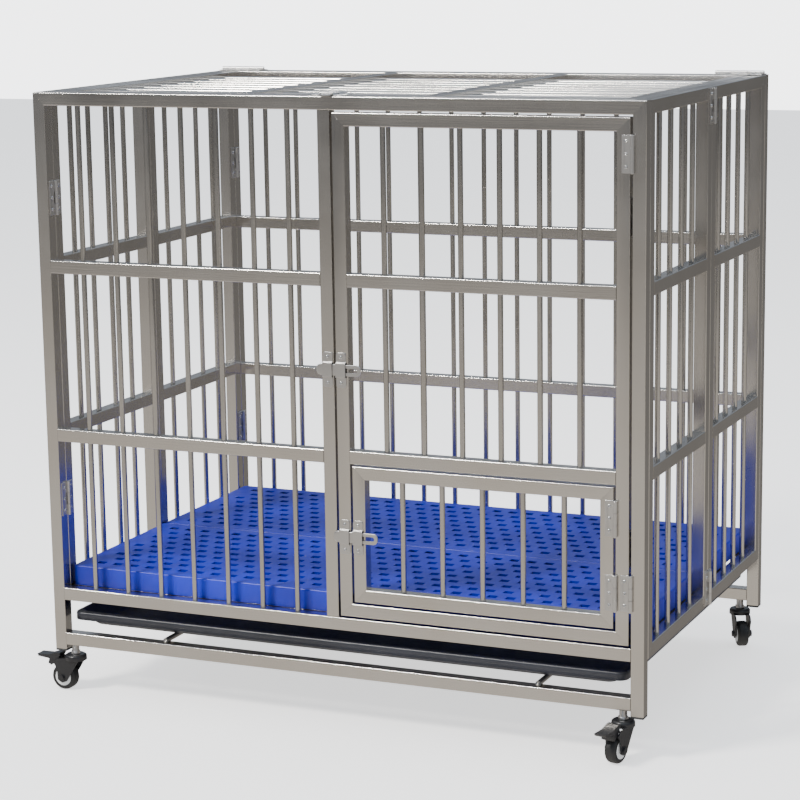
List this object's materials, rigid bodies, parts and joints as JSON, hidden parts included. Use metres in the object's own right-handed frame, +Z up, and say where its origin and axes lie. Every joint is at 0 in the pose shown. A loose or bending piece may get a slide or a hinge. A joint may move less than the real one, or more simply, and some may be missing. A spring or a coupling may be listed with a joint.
{
  "type": "kennel cage",
  "caption": "Folding stainless kennel cage with a hinged door, a feeding hatch in it, a top lid, slotted floor boards, a pull-out tray and casters.",
  "frame": {"origin": "on the floor under the centre of the cage frame", "axes": "+Z up, front with the doors towards -Y, +X to the viewer's right when facing the front"},
  "size_m": [0.9703, 0.675, 0.9087],
  "materials": {
    "tube_stainless": "polished with lengthwise grain",
    "rod_stainless": "polished round rod",
    "hardware_zinc": "bright pressed steel",
    "hardware_nickel": "bright screw heads and pins",
    "board_blue": "moulded, slightly glossy",
    "tray_black": "moulded, slightly glossy",
    "plug_black": "moulded",
    "caster_black": "black satin",
    "tyre": "hard black tread",
    "wheel_core": "pale grey moulded core"
  },
  "bodies": {
    "cage_frame": {"front_frame": "tube_stainless", "front_bars": "rod_stainless", "rear_frame": "tube_stainless", "rear_bars": "rod_stainless", "left_front_panel": "tube_stainless", "left_rear_panel": "tube_stainless", "right_front_panel": "tube_stainless", "right_rear_panel": "tube_stainless", "left_side_bars": "rod_stainless", "right_side_bars": "rod_stainless", "fold_hinge_outer_leaves": "hardware_zinc", "fold_hinge_middle_leaves": "hardware_zinc", "main_hinge_post_leaves": "hardware_zinc", "lid_hinge_base_leaves": "hardware_zinc", "frame_hinge_pins": "hardware_nickel", "frame_keepers": "hardware_zinc", "frame_screws": "hardware_nickel", "floor_grate": "rod_stainless", "rest_lugs": "hardware_zinc", "tray_runners": "rod_stainless", "leg_plugs": "plug_black", "caster_stems": "hardware_zinc"},
    "main_door": {"main_door_frame": "tube_stainless", "main_door_bars": "rod_stainless", "main_hinge_door_leaves": "hardware_zinc", "main_door_straps": "hardware_zinc", "main_door_screws": "hardware_nickel", "hatch_hinge_stile_leaves": "hardware_zinc", "hatch_hinge_pins": "hardware_nickel"},
    "main_bolt": {"main_bolt": "hardware_zinc"},
    "hatch": {"hatch_frame": "tube_stainless", "hatch_bars": "rod_stainless", "hatch_hinge_door_leaves": "hardware_zinc", "hatch_bolt_guide": "hardware_zinc", "hatch_screws": "hardware_nickel"},
    "hatch_bolt": {"hatch_bolt": "hardware_zinc"},
    "lid": {"lid_frame": "tube_stainless", "lid_bars": "rod_stainless", "lid_hinge_lid_leaves": "hardware_zinc", "lid_bolt_guide": "hardware_zinc", "lid_screws": "hardware_nickel"},
    "lid_bolt": {"lid_bolt": "hardware_zinc"},
    "tray": {"tray": "tray_black"},
    "floor_board_front": {"floor_board_front": "board_blue"},
    "floor_board_rear": {"floor_board_rear": "board_blue"},
    "caster_fl": {"caster_fl_fork": "caster_black"},
    "wheel_fl": {"caster_fl_hub": "wheel_core", "caster_fl_tyre": "tyre"},
    "pedal_fl": {"caster_fl_pedal": "caster_black"},
    "caster_fr": {"caster_fr_fork": "caster_black"},
    "wheel_fr": {"caster_fr_hub": "wheel_core", "caster_fr_tyre": "tyre"},
    "pedal_fr": {"caster_fr_pedal": "caster_black"},
    "caster_rl": {"caster_rl_fork": "caster_black"},
    "wheel_rl": {"caster_rl_hub": "wheel_core", "caster_rl_tyre": "tyre"},
    "caster_rr": {"caster_rr_fork": "caster_black"},
    "wheel_rr": {"caster_rr_hub": "wheel_core", "caster_rr_tyre": "tyre"}
  },
  "joints": [
    {"name": "main_door_swing", "type": "hinge", "parent": "cage_frame", "child": "main_door", "pos_m": [0.4465, -0.3103, 0.5], "axis": [0, 0, 1], "range_deg": [0, 170]},
    {"name": "hatch_swing", "type": "hinge", "parent": "main_door", "child": "hatch", "pos_m": [0.4245, -0.3103, 0.28], "axis": [0, 0, 1], "range_deg": [0, 95]},
    {"name": "main_bolt_slide", "type": "slide", "parent": "main_door", "child": "main_bolt", "axis": [1, 0, 0], "range_m": [0, 0.03]},
    {"name": "hatch_bolt_slide", "type": "slide", "parent": "hatch", "child": "hatch_bolt", "axis": [1, 0, 0], "range_m": [0, 0.03]},
    {"name": "lid_swing", "type": "hinge", "parent": "cage_frame", "child": "lid", "pos_m": [0, 0.2865, 0.9057], "axis": [-1, 0, 0], "range_deg": [0, 180]},
    {"name": "lid_bolt_slide", "type": "slide", "parent": "lid", "child": "lid_bolt", "axis": [0, 1, 0], "range_m": [0, 0.03]},
    {"name": "tray_slide", "type": "slide", "parent": "cage_frame", "child": "tray", "axis": [0, -1, 0], "range_m": [0, 0.45]},
    {"name": "front_board_lift", "type": "slide", "parent": "cage_frame", "child": "floor_board_front", "axis": [0, 0, 1], "range_m": [0, 0.05]},
    {"name": "rear_board_lift", "type": "slide", "parent": "cage_frame", "child": "floor_board_rear", "axis": [0, 0, 1], "range_m": [0, 0.05]},
    {"name": "caster_fl_swivel", "type": "hinge", "parent": "cage_frame", "child": "caster_fl", "pos_m": [-0.436, -0.2975, 0.05], "axis": [0, 0, 1], "continuous": true},
    {"name": "wheel_fl_spin", "type": "hinge", "parent": "caster_fl", "child": "wheel_fl", "pos_m": [-0.455, -0.2975, 0.02], "axis": [0, 1, 0], "continuous": true},
    {"name": "pedal_fl_press", "type": "hinge", "parent": "caster_fl", "child": "pedal_fl", "pos_m": [-0.464, -0.2975, 0.049], "axis": [0, -1, 0], "range_deg": [0, 10]},
    {"name": "caster_fr_swivel", "type": "hinge", "parent": "cage_frame", "child": "caster_fr", "pos_m": [0.433, -0.2975, 0.05], "axis": [0, 0, 1], "continuous": true},
    {"name": "wheel_fr_spin", "type": "hinge", "parent": "caster_fr", "child": "wheel_fr", "pos_m": [0.42905, -0.31609, 0.02], "axis": [-0.9781, 0.2079, 0], "continuous": true},
    {"name": "pedal_fr_press", "type": "hinge", "parent": "caster_fr", "child": "pedal_fr", "pos_m": [0.42718, -0.32489, 0.049], "axis": [0.9781, -0.2079, 0], "range_deg": [0, 10]},
    {"name": "caster_rl_swivel", "type": "hinge", "parent": "cage_frame", "child": "caster_rl", "pos_m": [-0.436, 0.2975, 0.05], "axis": [0, 0, 1], "continuous": true},
    {"name": "wheel_rl_spin", "type": "hinge", "parent": "caster_rl", "child": "wheel_rl", "pos_m": [-0.455, 0.2975, 0.02], "axis": [0, 1, 0], "continuous": true},
    {"name": "caster_rr_swivel", "type": "hinge", "parent": "cage_frame", "child": "caster_rr", "pos_m": [0.433, 0.2975, 0.05], "axis": [0, 0, 1], "continuous": true},
    {"name": "wheel_rr_spin", "type": "hinge", "parent": "caster_rr", "child": "wheel_rr", "pos_m": [0.44133, 0.28042, 0.02], "axis": [-0.8988, -0.4384, 0], "continuous": true}
  ]
}
